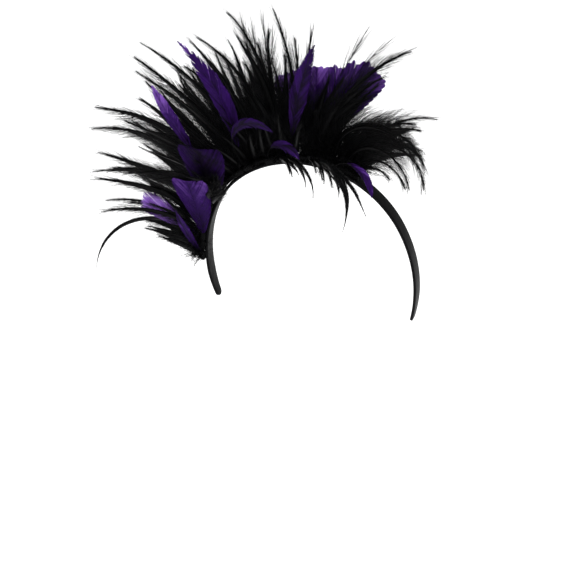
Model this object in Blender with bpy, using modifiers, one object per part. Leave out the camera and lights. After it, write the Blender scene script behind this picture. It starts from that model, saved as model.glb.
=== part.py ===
# Feather headband: a narrow satin-covered band with a spray of curved cock hackles
# and trimmed purple feathers over the crown and the wearer's right side.
# The band stands upright in the XZ plane. The origin is on its inner face at the
# crown, +X is the wearer's left, -Y is the way the wearer looks and +Z is up.

from collections import namedtuple

import bpy
import bmesh
import numpy as np

# Driving dimensions, in metres and degrees
BAND_WIDTH = 0.010            # across the band, front to back
BAND_THICKNESS = 0.002        # satin over a flat spring core
BAND_TIP_WIDTH = 0.007        # the band narrows a little to its rounded ends
BAND_EDGE_ROUND = 0.0006      # bevel along the band's edges
EDGE_ANGLE = 50.0             # edges sharper than this are rounded
CROWN_RADIUS = 0.072          # inner face over the top of the head
SIDE_RADIUS = 0.095           # inner face down beside the ears
CROWN_ARC = 65.0              # from the top to where the side radius starts
SIDE_ARC = 108.0              # from the top to each end of the band

GAP = 0.0003                  # between pieces that touch on the real one
PAD_THICKNESS = 0.003         # felt pad that the feathers are glued in
PAD_WIDTH = 0.0056            # pad of the black hackles, along the middle of the band
FOOT_WIDTH = 0.0034           # foot of a purple feather, beside the pads
FOOT_LENGTH = 0.006           # foot of a purple feather, along the band

HACKLE_LENGTH = 0.100         # a long cock hackle from root to tip
HACKLE_WIDTH = 0.011          # its vane at the widest, without the loose barbs
HACKLE_THICKNESS = 0.0018     # at the quill
VANE_LENGTH = 0.070           # a trimmed purple feather from root to tip
VANE_WIDTH = 0.024            # its vane at the widest
VANE_THICKNESS = 0.0016       # at the quill

BAND_TAPER = 0.020            # length over which each end of the band narrows
PAD_STEP = 5.0                # degrees between the sections of a pad
QUILL_STEPS = 60              # short straight steps that add up to a quill's curve
QUILL_TAPER = 0.7             # share of the quill's depth that is lost by the tip
VANE_CUP = 0.15               # how far the vane's edges fall back, as a share of its half width
CROWN_STEPS = 10              # sections of the band from the top to CROWN_ARC
SIDE_STEPS = 6                # sections of the band from there to its narrowing
TIP_TURNS = (35, 65, 82)      # degrees round each rounded end

# Each outline: a place along the feather and its share of the full width there
OUTLINES = {
    "hackle": ((0.00, 0.30), (0.14, 0.70), (0.30, 1.00), (0.50, 0.92),
               (0.68, 0.68), (0.84, 0.38), (1.00, 0.08)),
    "blunt": ((0.00, 0.12), (0.20, 0.36), (0.45, 0.72), (0.68, 0.97),
              (0.86, 1.00), (0.95, 0.92), (1.00, 0.72)),
    "pointed": ((0.00, 0.14), (0.20, 0.50), (0.42, 0.90), (0.60, 1.00),
                (0.78, 0.70), (0.90, 0.34), (1.00, 0.06)),
    "long vane": ((0.00, 0.16), (0.22, 0.20), (0.34, 0.60), (0.50, 1.00),
                  (0.70, 0.94), (0.86, 0.56), (1.00, 0.06)),
    "bare quill": ((0.00, 0.30), (0.20, 0.30), (0.40, 0.30), (0.52, 0.70),
                   (0.70, 1.00), (0.86, 0.80), (1.00, 0.16)),
}

# One row is one feather. seat is the place of its root along the band and fan its
# direction across the head, both in degrees from the top towards the wearer's left.
# lean tips it forward. bend and curl are what fan and lean gain from root to tip.
# length and width are shares of the sizes above, and roll turns the vane on its quill.
Feather = namedtuple("Feather", "seat fan bend lean curl length width roll")

# Black plumes: the rank of the pad, where it starts and ends along the band, and its
# feathers. rank is 0 along the middle of the band, 1 in front of it and -1 behind it.
PLUMES = {
    "plume_side_low": (0, -86, -68, (
        (-82, -45, -125, 6, 0, 1.06, 0.35, 10),
        (-79, -27, -86, 36, -34, 0.79, 0.60, -15),
        (-76, -60, -40, 1, 0, 0.76, 0.60, 10),
        (-73, -78, -20, -8, 0, 0.62, 1.20, 10),
        (-70, -56, -30, 10, 0, 0.82, 0.95, -10),
        (-84, -58, -30, -4, 0, 0.36, 1.20, 10),
        (-80, -66, -25, 4, 0, 0.42, 1.40, -10),
        (-72, -60, -10, -6, 0, 0.55, 1.40, 5),
    )),
    "plume_side": (0, -67, -51, (
        (-65, -50, -55, 4, 0, 0.89, 0.90, 10),
        (-62, -70, -12, -6, 0, 0.92, 1.00, -15),
        (-60, -40, -50, -10, 0, 0.91, 0.85, 20),
        (-56, -25, -75, 6, 0, 1.02, 0.70, 0),
        (-53, -25, -70, 0, 0, 1.07, 1.00, -10),
        (-64, -62, -20, 3, 0, 0.55, 1.40, 10),
        (-58, -45, -20, -4, 0, 0.60, 1.40, 15),
        (-54, -38, -20, -8, 0, 0.58, 1.40, -10),
    )),
    "plume_upper_side": (0, -50, -35, (
        (-48, -38, -30, 13, 0, 0.80, 1.10, 10),
        (-45, -34, -25, -8, 0, 0.86, 1.10, -10),
        (-42, -30, -20, 10, 0, 0.60, 1.40, 10),
        (-40, -24, -20, -6, 0, 0.70, 1.20, 15),
        (-38, -30, -40, -5, 0, 0.97, 0.90, 0),
        (-37, -22, -10, -10, 0, 0.50, 1.20, 0),
    )),
    "plume_crest_right": (0, -34, -19, (
        (-32, -30, -20, 8, 0, 1.04, 0.80, -15),
        (-30, -16, -44, 4, 0, 1.10, 0.90, 10),
        (-26, -13, -34, -8, 0, 0.91, 0.90, -10),
        (-20, 8, -68, 0, 0, 0.98, 0.90, 10),
        (-23, -7, -12, -6, 0, 0.83, 1.10, 10),
        (-28, -22, -20, 2, 0, 0.60, 1.40, 0),
        (-21, -10, -10, -4, 0, 0.50, 1.30, 0),
    )),
    "plume_crest": (0, -18, -3, (
        (-15, 12, -46, 6, 0, 0.95, 1.00, -10),
        (-12, 3, -35, 0, 0, 1.05, 1.00, 15),
        (-8, -2, 4, -8, 0, 0.68, 1.00, -15),
        (-5, 12, -30, 0, 0, 1.03, 0.50, 10),
        (-10, -12, 12, -6, 0, 0.86, 0.90, 0),
        (-15, -8, -10, 12, 0, 0.60, 1.30, 0),
        (-7, 0, 5, 4, 0, 0.55, 1.40, 0),
        (-4, 4, 6, 8, 0, 0.55, 1.20, 0),
    )),
    "plume_crest_left": (0, -2, 14, (
        (0, -2, -3, -10, 0, 0.78, 0.70, 10),
        (2, -4, 12, -12, 0, 0.84, 0.70, -10),
        (4, 6, 20, -4, 0, 0.60, 1.30, 15),
        (7, 12, 30, 4, 0, 0.55, 1.40, 0),
        (8, 12, 54, -8, 0, 1.02, 0.80, 10),
        (10, 16, 30, -12, 0, 0.62, 1.30, 10),
        (12, 18, 32, -8, 0, 0.66, 0.80, -10),
    )),
    "plume_droop_left": (0, 15, 32, (
        (16, 0, 160, 8, 0, 0.98, 0.90, 10),
        (18, -4, 150, 12, 0, 0.88, 0.90, -15),
        (20, 12, 130, 0, 0, 0.70, 1.30, 10),
        (22, 14, 170, 0, 0, 0.82, 0.90, 15),
        (24, 4, 170, 14, 0, 0.72, 0.90, 0),
        (27, 22, 150, 6, 0, 0.50, 1.00, -10),
        (30, 22, 120, 12, 0, 0.30, 1.20, 0),
    )),
    "plume_back_side": (-1, -71, -56, (
        (-69, -66, -20, -16, 0, 0.80, 1.00, 0),
        (-66, -56, -30, -24, 0, 0.76, 1.10, 0),
        (-62, -52, -20, -18, 0, 0.85, 1.00, 0),
        (-58, -46, -30, -26, 0, 0.72, 1.10, 0),
    )),
    "plume_back_crest": (-1, -44, -16, (
        (-41, -34, -20, -22, 0, 0.80, 1.00, 0),
        (-36, -28, -16, -16, 0, 0.74, 1.00, 0),
        (-31, -22, -16, -26, 0, 0.78, 1.10, 0),
        (-26, -18, -14, -18, 0, 0.72, 1.00, 0),
        (-21, -10, -16, -24, 0, 0.76, 1.10, 0),
        (-17, -6, -10, -16, 0, 0.74, 0.90, 0),
    )),
    "plume_back_left": (-1, 12, 30, (
        (14, 40, 50, -14, 0, 0.62, 1.00, 0),
        (18, 36, 70, -24, 0, 0.60, 1.10, 0),
        (23, 44, 70, -16, 0, 0.52, 1.00, 0),
        (28, 50, 60, -22, 0, 0.44, 1.10, 0),
    )),
    "plume_brow_right": (1, -13, -8, (
        (-12, 60, 70, 34, 0, 0.26, 0.30, 10),
        (-10, 46, 120, 35, 0, 0.50, 0.30, 0),
    )),
    "plume_brow_left": (1, 5, 13, (
        (6, 58, 140, 35, 0, 0.68, 0.30, 0),
        (9, 75, 80, 30, 0, 0.57, 0.30, 10),
        (12, 60, 110, 45, 0, 0.36, 0.30, 10),
    )),
}

# Purple feathers that stand alone, each on its own foot: its rank, outline and row
PURPLE_FEATHERS = {
    "purple_side_feather": (1, "blunt", (-83, -35, -40, 2, 0, 0.76, 0.76, 0)),
    "purple_cheek_feather": (1, "pointed", (-88, -16, 20, 27, 0, 0.77, 0.34, 10)),
    "purple_round_low": (1, "blunt", (-79, 9, -10, 24, 0, 0.86, 1.05, 0)),
    "purple_round_high": (1, "blunt", (-65, 12, -10, 24, 0, 0.90, 1.30, 0)),
    "purple_upper_feather": (1, "bare quill", (-50, -25, 15, 20, 0, 1.39, 0.40, 0)),
    "purple_split_feather": (1, "long vane", (-36, 12, -51, 14, -4, 1.60, 0.60, 0)),
    "purple_pointed_feather": (1, "long vane", (-5, 11, 17, 16, 0, 1.53, 0.50, 0)),
    "purple_arched_high": (1, "bare quill", (-30, -30, 135, 28, 0, 1.30, 0.30, 0)),
    "purple_arched_low": (1, "bare quill", (-17, -3, 135, 26, 0, 0.68, 0.34, 0)),
    "purple_band_feather": (1, "bare quill", (18, 30, 140, 28, 0, 0.72, 0.26, 0)),
}

# The broad fan of trimmed feathers behind the crest, on one foot
PURPLE_FAN = {
    "purple_fan": (-1, 0, 8, (
        (1, -24, 0, -24, 0, 0.80, 1.00, 0),
        (3, -2, 0, -28, 0, 0.83, 1.00, 0),
        (5, 12, 12, -24, 0, 0.85, 1.00, 0),
        (7, 17, 34, -20, 0, 0.99, 1.00, 0),
    )),
}


def arch_point(heading, lift, y):
    """Point over the arch: two arcs tangent at CROWN_ARC, lifted off the inner face."""
    side = -1.0 if heading < 0 else 1.0
    turn = np.radians(abs(heading))
    change = np.radians(CROWN_ARC)
    crown = min(turn, change)
    across = CROWN_RADIUS * np.sin(crown)
    drop = CROWN_RADIUS * (1 - np.cos(crown))
    if turn > change:
        across += SIDE_RADIUS * (np.sin(turn) - np.sin(change))
        drop += SIDE_RADIUS * (np.cos(change) - np.cos(turn))
    return np.array((side * (across + lift * np.sin(turn)), y, lift * np.cos(turn) - drop))


def arch_radius(heading):
    """Radius of the arc that the heading lies on."""
    return CROWN_RADIUS if abs(heading) <= CROWN_ARC else SIDE_RADIUS


def make_material(name, colour, roughness):
    """A plain Principled material in linear colour."""
    material = bpy.data.materials.new(name)
    material.use_nodes = True
    shader = material.node_tree.nodes["Principled BSDF"]
    shader.inputs["Base Color"].default_value = (*colour, 1.0)
    shader.inputs["Roughness"].default_value = roughness
    shader.inputs["Metallic"].default_value = 0.0
    material.diffuse_color = (*colour, 1.0)
    return material


def make_object(name, vertices, faces, collection, material=None):
    """A mesh object whose faces all point outward."""
    mesh = bpy.data.meshes.new(name)
    mesh.from_pydata([tuple(vertex) for vertex in vertices], [], faces)
    shape = bmesh.new()
    shape.from_mesh(mesh)
    bmesh.ops.recalc_face_normals(shape, faces=shape.faces)
    shape.to_mesh(mesh)
    shape.free()
    part = bpy.data.objects.new(name, mesh)
    collection.objects.link(part)
    if material:
        mesh.materials.append(material)
    return part


def loft_faces(rings, corners):
    """Quads between the rings of a closed loft, with an end face at both ends."""
    faces = []
    for ring in range(rings - 1):
        for corner in range(corners):
            after = (corner + 1) % corners
            low, high = ring * corners, (ring + 1) * corners
            faces.append((low + corner, low + after, high + after, high + corner))
    faces.append(tuple(range(corners)))
    faces.append(tuple(range((rings - 1) * corners, rings * corners)))
    return faces


def make_band(collection, material):
    """An open strip along the arch, thickened outward and rounded at its edges."""
    tip_turn = np.degrees(BAND_TIP_WIDTH / 2 / SIDE_RADIUS)
    taper_turn = np.degrees(BAND_TAPER / SIDE_RADIUS)
    crown = np.linspace(0, CROWN_ARC, CROWN_STEPS + 1)
    side = np.linspace(CROWN_ARC, SIDE_ARC - taper_turn, SIDE_STEPS + 1)
    narrowing = SIDE_ARC - taper_turn / 2
    left = [(heading, BAND_WIDTH / 2) for heading in (*crown, *side[1:])]
    left.append((narrowing, (BAND_WIDTH + BAND_TIP_WIDTH) / 4))
    left.append((SIDE_ARC - tip_turn, BAND_TIP_WIDTH / 2))
    for turn in np.radians(TIP_TURNS):
        left.append((SIDE_ARC - tip_turn * (1 - np.sin(turn)), BAND_TIP_WIDTH / 2 * np.cos(turn)))
    stations = [(-heading, reach) for heading, reach in reversed(left[1:])] + left
    vertices = []
    for heading, reach in stations:
        vertices += [arch_point(heading, 0, -reach), arch_point(heading, 0, reach)]
    faces = [(2 * i, 2 * i + 2, 2 * i + 3, 2 * i + 1) for i in range(len(stations) - 1)]
    band = make_object("band", vertices, faces, collection, material)
    wall = band.modifiers.new("wall", "SOLIDIFY")
    wall.thickness = BAND_THICKNESS
    wall.offset = 1.0
    edge = band.modifiers.new("rounded edges", "BEVEL")
    edge.width = BAND_EDGE_ROUND
    edge.segments = 2
    edge.limit_method = "ANGLE"
    edge.angle_limit = np.radians(EDGE_ANGLE)


def rank_middle(rank):
    """Distance of a rank of pads in front of the middle of the band."""
    return rank * (PAD_WIDTH / 2 + GAP + FOOT_WIDTH / 2)


def make_pad(name, start, end, rank, collection, material):
    """A strip of felt that follows the band's outer face between two seats."""
    half = FOOT_WIDTH / 2 if rank else PAD_WIDTH / 2
    front, back = -rank_middle(rank) - half, -rank_middle(rank) + half
    low = BAND_THICKNESS + GAP
    high = low + PAD_THICKNESS
    steps = max(2, int(round((end - start) / PAD_STEP)))
    vertices = []
    for heading in np.linspace(start, end, steps + 1):
        vertices += [arch_point(heading, low, front), arch_point(heading, low, back),
                     arch_point(heading, high, back), arch_point(heading, high, front)]
    return make_object(name, vertices, loft_faces(steps + 1, 4), collection, material)


def quill_line(feather, full_length, rank):
    """Points, fan and lean along a quill that turns evenly from root to tip."""
    share = np.linspace(0, 1, QUILL_STEPS + 1)
    fan = np.radians(feather.fan + feather.bend * share)
    lean = np.radians(feather.lean + feather.curl * share)
    ahead = np.stack((np.sin(fan) * np.cos(lean), -np.sin(lean), np.cos(fan) * np.cos(lean)), 1)
    steps = (ahead[1:] + ahead[:-1]) / 2 * feather.length * full_length / QUILL_STEPS
    root = arch_point(feather.seat, BAND_THICKNESS + GAP + PAD_THICKNESS / 2, -rank_middle(rank))
    return share, np.vstack((root, root + np.cumsum(steps, 0))), fan, lean


def make_feather(name, feather, sizes, outline, rank, roots):
    """A curved blade: a flat, slightly cupped diamond section carried along its quill."""
    full_length, full_width, full_depth = sizes
    share, quill, fans, leans = quill_line(feather, full_length, rank)
    roll = np.radians(feather.roll)
    vertices = []
    for place, breadth in OUTLINES[outline]:
        middle = np.array([np.interp(place, share, quill[:, axis]) for axis in range(3)])
        fan, lean = np.interp(place, share, fans), np.interp(place, share, leans)
        across = np.array((np.cos(fan), 0, -np.sin(fan)))
        face = -np.array((np.sin(fan) * np.sin(lean), np.cos(lean), np.cos(fan) * np.sin(lean)))
        edge = across * np.cos(roll) + face * np.sin(roll)
        front = face * np.cos(roll) - across * np.sin(roll)
        reach = breadth * feather.width * full_width / 2
        depth = full_depth / 2 * (1 - QUILL_TAPER * place)
        fall = front * reach * VANE_CUP
        vertices += [middle + edge * reach - fall, middle + front * depth,
                     middle - edge * reach - fall, middle - front * depth]
    blade = make_object(name, vertices, loft_faces(len(OUTLINES[outline]), 4), roots)
    blade.hide_render = True
    blade.display_type = "WIRE"


def make_plume(name, plume, sizes, outline, collections, material):
    """A pad and the feathers whose roots are in it, fused into one solid."""
    rank, start, end, rows = plume
    headband, loose = collections
    pad = make_pad(name, start, end, rank, headband, material)
    roots = bpy.data.collections.new(f"{name}_feathers")
    loose.children.link(roots)
    for number, row in enumerate(rows, 1):
        make_feather(f"{name}_{number}", Feather(*row), sizes, outline, rank, roots)
    union = pad.modifiers.new("fused feathers", "BOOLEAN")
    union.operation = "UNION"
    union.operand_type = "COLLECTION"
    union.collection = roots
    union.solver = "EXACT"


def main():
    for old in list(bpy.data.objects):
        bpy.data.objects.remove(old, do_unlink=True)
    headband = bpy.data.collections.new("feather_headband")
    loose = bpy.data.collections.new("feathers_to_fuse")
    both = (headband, loose)
    for collection in both:
        bpy.context.scene.collection.children.link(collection)

    satin = make_material("black satin", (0.018, 0.020, 0.022), 0.45)
    black = make_material("black hackle", (0.006, 0.006, 0.008), 0.55)
    purple = make_material("purple goose feather", (0.070, 0.016, 0.220), 0.60)
    hackle = (HACKLE_LENGTH, HACKLE_WIDTH, HACKLE_THICKNESS)
    vane = (VANE_LENGTH, VANE_WIDTH, VANE_THICKNESS)

    make_band(headband, satin)
    for name, plume in PLUMES.items():
        make_plume(name, plume, hackle, "hackle", both, black)
    for name, plume in PURPLE_FAN.items():
        make_plume(name, plume, vane, "blunt", both, purple)
    for name, (rank, outline, row) in PURPLE_FEATHERS.items():
        seat = row[0]
        half = np.degrees(FOOT_LENGTH / 2 / arch_radius(seat))
        make_plume(name, (rank, seat - half, seat + half, (row,)), vane, outline, both, purple)


main()
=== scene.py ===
# Feather headband: black satin hair band with curved cock hackles and trimmed purple feathers
import math

import bpy
import numpy as np
from mathutils import Matrix, Vector


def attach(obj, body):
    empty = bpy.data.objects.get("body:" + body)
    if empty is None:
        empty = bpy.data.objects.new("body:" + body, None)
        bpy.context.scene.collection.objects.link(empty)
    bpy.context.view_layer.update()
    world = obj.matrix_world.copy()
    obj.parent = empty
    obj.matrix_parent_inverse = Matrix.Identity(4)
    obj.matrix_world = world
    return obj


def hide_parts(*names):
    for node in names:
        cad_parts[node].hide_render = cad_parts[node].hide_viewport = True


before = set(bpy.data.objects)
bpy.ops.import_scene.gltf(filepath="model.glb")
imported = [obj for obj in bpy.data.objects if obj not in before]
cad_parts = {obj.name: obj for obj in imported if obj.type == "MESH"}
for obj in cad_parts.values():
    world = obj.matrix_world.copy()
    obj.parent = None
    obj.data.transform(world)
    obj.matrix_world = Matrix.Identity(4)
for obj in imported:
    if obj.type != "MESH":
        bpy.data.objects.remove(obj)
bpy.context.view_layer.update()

rng = np.random.default_rng(11)   # fixed seed: every run grows the same feathers
print("frame loaded")

# The band's inner face, metres and degrees: a crown arc, then side arcs tangent to it
arch = {"crownRadius": 0.072, "sideRadius": 0.095, "crownArc": 65.0, "sideArc": 108.0}
# Felt pads on the band's outer face, in ranks from front (1) to back (-1)
pads = {"lift": 0.0023, "thickness": 0.003, "width": 0.0056, "footWidth": 0.0034, "gap": 0.0003,
        "rings": 24, "endShare": 0.72, "endGain": 0.28, "rounding": 0.0008, "footHalf": 0.003}
# Places of a piece's materials: its feather, its stem or quill, and its felt pad
featherSlot, stemSlot, feltSlot = 0, 1, 2


# Point over the arch: turn along the crown arc, then along the side arc, and step out
# by lift along the arch's normal
def archPoint(heading, lift, y):
    heading, lift, y = np.broadcast_arrays(heading, lift, y)
    turn = np.radians(np.abs(heading))
    change = math.radians(arch["crownArc"])
    crown, side = np.minimum(turn, change), np.maximum(turn, change)
    across = arch["crownRadius"] * np.sin(crown) \
        + arch["sideRadius"] * (np.sin(side) - math.sin(change)) + lift * np.sin(turn)
    drop = arch["crownRadius"] * (1 - np.cos(crown)) \
        + arch["sideRadius"] * (math.cos(change) - np.cos(side))
    return np.stack((np.sign(heading) * across, y, lift * np.cos(turn) - drop), -1)


# Distance of a rank of pads in front of the band's middle line: half the middle pad's
# width, the gap and half a foot's width, times the rank
def rankMiddle(rank):
    return rank * (pads["width"] / 2 + pads["gap"] + pads["footWidth"] / 2)


# Vectors divided by their own length
def unit(vectors):
    return vectors / np.linalg.norm(vectors, axis=-1, keepdims=True)


# Closed outline of a tube: corners evenly round a circle, the first one at the top
def roundProfile(sides):
    angle = np.arange(sides) * 2 * np.pi / sides + np.pi / 2
    return np.stack((np.cos(angle), np.sin(angle)), -1)


# Closed outline of a strip: a rectangle with quarter circles at its corners, as shares
# of the half width and half depth
def stripProfile(width, depth, rounding, steps):
    angle = np.concatenate([np.linspace(k, k + 1, steps) for k in range(4)]) * np.pi / 2
    signX = np.repeat((1, -1, -1, 1), steps)
    signY = np.repeat((1, 1, -1, -1), steps)
    x = signX * (width / 2 - rounding) + rounding * np.cos(angle)
    y = signY * (depth / 2 - rounding) + rounding * np.sin(angle)
    return np.stack((x / (width / 2), y / (depth / 2)), -1)


# Carries a closed profile along many lines at once. centres is (tube, ring, 3) and a
# corner is centre + across * profile x * width / 2 + up * profile y * depth / 2.
# Both ends are capped. Values come per tube and ring and go to every corner.
def sweep(centres, across, up, width, depth, profile, material=0, **values):
    tubes, rings = centres.shape[:2]
    sides = len(profile)
    corners = centres[:, :, None] \
        + across[:, :, None] * (profile[:, 0, None] * (width[:, :, None, None] / 2)) \
        + up[:, :, None] * (profile[:, 1, None] * (depth[:, :, None, None] / 2))
    ring = np.arange(sides)
    after = (ring + 1) % sides
    low = (np.arange(rings - 1) * sides)[:, None]
    first = np.stack((low + ring, low + after, low + sides + after), -1).reshape(-1, 3)
    second = np.stack((low + ring, low + sides + after, low + sides + ring), -1).reshape(-1, 3)
    fan = np.arange(1, sides - 1)
    last = (rings - 1) * sides
    capLow = np.stack((fan * 0, fan + 1, fan), -1)
    capHigh = np.stack((fan * 0, fan, fan + 1), -1) + last
    one = np.concatenate((first, second, capLow, capHigh))
    faces = (one + (np.arange(tubes) * rings * sides)[:, None, None]).reshape(-1, 3)
    spread = {key: np.repeat(np.broadcast_to(value, (tubes, rings)).reshape(-1), sides)
              for key, value in values.items()}
    return {"points": corners.reshape(-1, 3), "faces": faces, "material": material, **spread}


# Joins swept parts into one mesh. Each point carries barbOut (quill to barb end) and shade
# (the feather's tone, with painted shade on the purple vanes), for the materials.
def putMesh(name, parts, materials):
    points = np.concatenate([part["points"] for part in parts])
    shifts = np.cumsum([0] + [len(part["points"]) for part in parts[:-1]])
    faces = np.concatenate([part["faces"] + shift for part, shift in zip(parts, shifts)])
    index = np.concatenate([np.full(len(part["faces"]), part["material"]) for part in parts])
    mesh = bpy.data.meshes.new(name)
    mesh.vertices.add(len(points))
    mesh.vertices.foreach_set("co", points.astype(np.float32).ravel())
    mesh.loops.add(faces.size)
    mesh.loops.foreach_set("vertex_index", faces.astype(np.int32).ravel())
    mesh.polygons.add(len(faces))
    mesh.polygons.foreach_set("loop_start", np.arange(0, faces.size, 3, dtype=np.int32))
    for material in materials:
        mesh.materials.append(material)
    mesh.polygons.foreach_set("material_index", index.astype(np.int32))
    mesh.polygons.foreach_set("use_smooth", np.ones(len(faces), bool))
    for key in ("barbOut", "shade"):
        values = [part.get(key, np.zeros(len(part["points"]))) for part in parts]
        layer = mesh.attributes.new(key, "FLOAT", "POINT")
        layer.data.foreach_set("value", np.concatenate(values).astype(np.float32))
    mesh.update()
    piece = bpy.data.objects.new(name, mesh)
    bpy.context.scene.collection.objects.link(piece)
    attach(piece, "root")
    print(name, len(faces), "triangles")
    return piece


# sRGB hex to linear colour: a dark share is divided by 12.92, any other one is raised by
# 0.055, divided by 1.055 and taken to the power 2.4
def tint(code):
    shares = [int(code[k:k + 2], 16) / 255 for k in (1, 3, 5)]
    linear = (s / 12.92 if s <= 0.04045 else ((s + 0.055) / 1.055) ** 2.4 for s in shares)
    return tuple(linear) + (1.0,)


# Adds a node, sets its properties and plugs in its inputs: sockets link, values are set.
# An input is named as on the node, or by an underscore and its number.
def addNode(tree, kind, settings=(), **inputs):
    node = tree.nodes.new(kind)
    for key, value in dict(settings).items():
        setattr(node, key, value)
    for key, value in inputs.items():
        number = key[1:]
        socket = node.inputs[int(number) if number.isdigit() else key.replace("_", " ")]
        if isinstance(value, bpy.types.NodeSocket):
            tree.links.new(value, socket)
        else:
            socket.default_value = value
    return node


# Noise over the object's own place, in waves of about 1 / scale metres
def addNoise(tree, scale, detail):
    place = addNode(tree, "ShaderNodeTexCoord").outputs["Object"]
    noise = addNode(tree, "ShaderNodeTexNoise", Vector=place, Scale=scale, Detail=detail)
    return noise.outputs["Fac"]


# A material with nodes, its tree and its shader. The colour here is for plain views only.
def newMaterial(name, colour):
    material = bpy.data.materials.new(name)
    material.use_nodes = True
    material.diffuse_color = tint(colour)
    return material, material.node_tree, material.node_tree.nodes["Principled BSDF"]


# Dyed feather: a ramp from dark over middle and light to pale, read at
# lightAt * (outGain * barbOut + shade + grain * (noise - 1/2)). So the barbs get lighter
# towards their ends, by the shade value and with a fine mottling. On the purple vanes that
# value also carries painted shade, darker near a quill's root and on shaded feathers.
def featherMaterial(name, look):
    material, tree, shader = newMaterial(name, look["middle"])
    out = addNode(tree, "ShaderNodeAttribute", {"attribute_name": "barbOut"}).outputs["Fac"]
    shade = addNode(tree, "ShaderNodeAttribute", {"attribute_name": "shade"}).outputs["Fac"]
    sway = addNode(tree, "ShaderNodeMath", {"operation": "MULTIPLY_ADD"},
                   _0=addNoise(tree, look["grainScale"], 2.0), _1=look["grain"],
                   _2=-look["grain"] / 2)
    level = addNode(tree, "ShaderNodeMath", {"operation": "MULTIPLY_ADD"}, _0=out,
                    _1=look["outGain"], _2=shade)
    total = addNode(tree, "ShaderNodeMath", {"operation": "ADD"},
                    _0=level.outputs[0], _1=sway.outputs[0])
    share = addNode(tree, "ShaderNodeMath", {"operation": "MULTIPLY"},
                    _0=total.outputs[0], _1=look["lightAt"])
    ramp = addNode(tree, "ShaderNodeValToRGB", Fac=share.outputs[0])
    bar = ramp.color_ramp
    bar.elements[0].color, bar.elements[1].color = tint(look["dark"]), tint(look["pale"])
    bar.elements.new(look["lightAt"] / 2).color = tint(look["middle"])
    bar.elements.new(look["lightAt"]).color = tint(look["light"])
    tree.links.new(ramp.outputs["Color"], shader.inputs["Base Color"])
    shader.inputs["Roughness"].default_value = look["roughness"]
    shader.inputs["IOR"].default_value = 1.54
    shader.inputs["Specular IOR Level"].default_value = look["gloss"]
    shader.inputs["Sheen Weight"].default_value = look["sheen"]
    shader.inputs["Sheen Roughness"].default_value = 0.4
    shader.inputs["Sheen Tint"].default_value = tint(look["light"])
    return material


# Cock hackle dyed black: blackest at the quill, a very dark grey at the barb ends
blackHackle = featherMaterial("black dyed cock hackle", {
    "dark": "#010101", "middle": "#030304", "light": "#0c0c0e", "pale": "#121214",
    "lightAt": 0.6, "outGain": 0.55, "grain": 0.25, "grainScale": 300.0,
    "roughness": 0.36, "gloss": 0.05, "sheen": 0.0})
# Goose feather dyed purple: deep near the quill, lavender towards the barb ends; the darker
# stretch near each quill's root is painted shade, set where the barbs are grown
purpleGoose = featherMaterial("purple dyed goose feather", {
    "dark": "#080112", "middle": "#280a4c", "light": "#7a52aa", "pale": "#c0a4e6",
    "lightAt": 0.6, "outGain": 0.22, "grain": 0.34, "grainScale": 260.0,
    "roughness": 0.60, "gloss": 0.04, "sheen": 0.0})

# Black dyed quill: plain horn with a faint glaze
blackQuill, tree, shader = newMaterial("black dyed quill", "#030304")
shader.inputs["Base Color"].default_value = tint("#030304")
shader.inputs["Roughness"].default_value = 0.45
shader.inputs["Specular IOR Level"].default_value = 0.05

# Black felt: matt, with fibres about half a millimetre apart
blackFelt, tree, shader = newMaterial("black wool felt", "#0a0a0c")
bump = addNode(tree, "ShaderNodeBump", Height=addNoise(tree, 1800.0, 4.0), Strength=0.5,
               Distance=0.0003)
tree.links.new(bump.outputs["Normal"], shader.inputs["Normal"])
shader.inputs["Base Color"].default_value = tint("#060607")
shader.inputs["Roughness"].default_value = 0.92
shader.inputs["Specular IOR Level"].default_value = 0.1

# Black polyester satin: a soft broad highlight, fine threads and a few slack puckers
blackSatin, tree, shader = newMaterial("black polyester satin", "#1b1d20")
low = addNode(tree, "ShaderNodeBump", Height=addNoise(tree, 160.0, 2.0), Strength=0.35,
              Distance=0.0008)   # slack puckers
fine = addNode(tree, "ShaderNodeBump", Height=addNoise(tree, 5200.0, 1.0), Strength=0.15,
               Distance=0.00005, Normal=low.outputs["Normal"])   # threads
tree.links.new(fine.outputs["Normal"], shader.inputs["Normal"])
shader.inputs["Base Color"].default_value = tint("#050506")
shader.inputs["Roughness"].default_value = 0.45
shader.inputs["Specular IOR Level"].default_value = 0.055
shader.inputs["Sheen Weight"].default_value = 0.01
shader.inputs["Sheen Roughness"].default_value = 0.35
print("materials made")

barbProfile = roundProfile(3)
webProfile = roundProfile(4)
shaftProfile = roundProfile(6)

# Outlines of the vanes: place along the quill and share of the half width there
outlines = {
    "hackle": ((0.00, 0.30), (0.14, 0.70), (0.30, 1.00), (0.50, 0.92),
               (0.68, 0.68), (0.84, 0.38), (1.00, 0.08), (1.10, 0.02)),
    "blunt": ((0.00, 0.12), (0.20, 0.36), (0.45, 0.72), (0.68, 0.97), (0.80, 1.00),
              (0.90, 0.99), (0.96, 0.93), (0.985, 0.84), (1.00, 0.74)),
    "petal": ((0.00, 0.12), (0.20, 0.34), (0.45, 0.72), (0.68, 0.96), (0.82, 1.02),
              (0.92, 1.03), (0.97, 0.97), (0.99, 0.90), (1.00, 0.80)),
    "pointed": ((0.00, 0.14), (0.20, 0.50), (0.42, 0.90), (0.60, 1.00),
                (0.78, 0.70), (0.90, 0.34), (1.00, 0.04)),
    "long vane": ((0.00, 0.10), (0.22, 0.16), (0.34, 0.60), (0.50, 1.00),
                  (0.70, 0.94), (0.86, 0.56), (0.95, 0.26), (1.00, 0.04)),
    "bare quill": ((0.00, 0.06), (0.36, 0.08), (0.44, 0.36), (0.52, 0.70),
                   (0.70, 1.00), (0.86, 0.80), (0.95, 0.44), (1.00, 0.06)),
}
stretch = np.linspace(-0.03, 0.03, 7)   # places that breadthAt averages over
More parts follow.
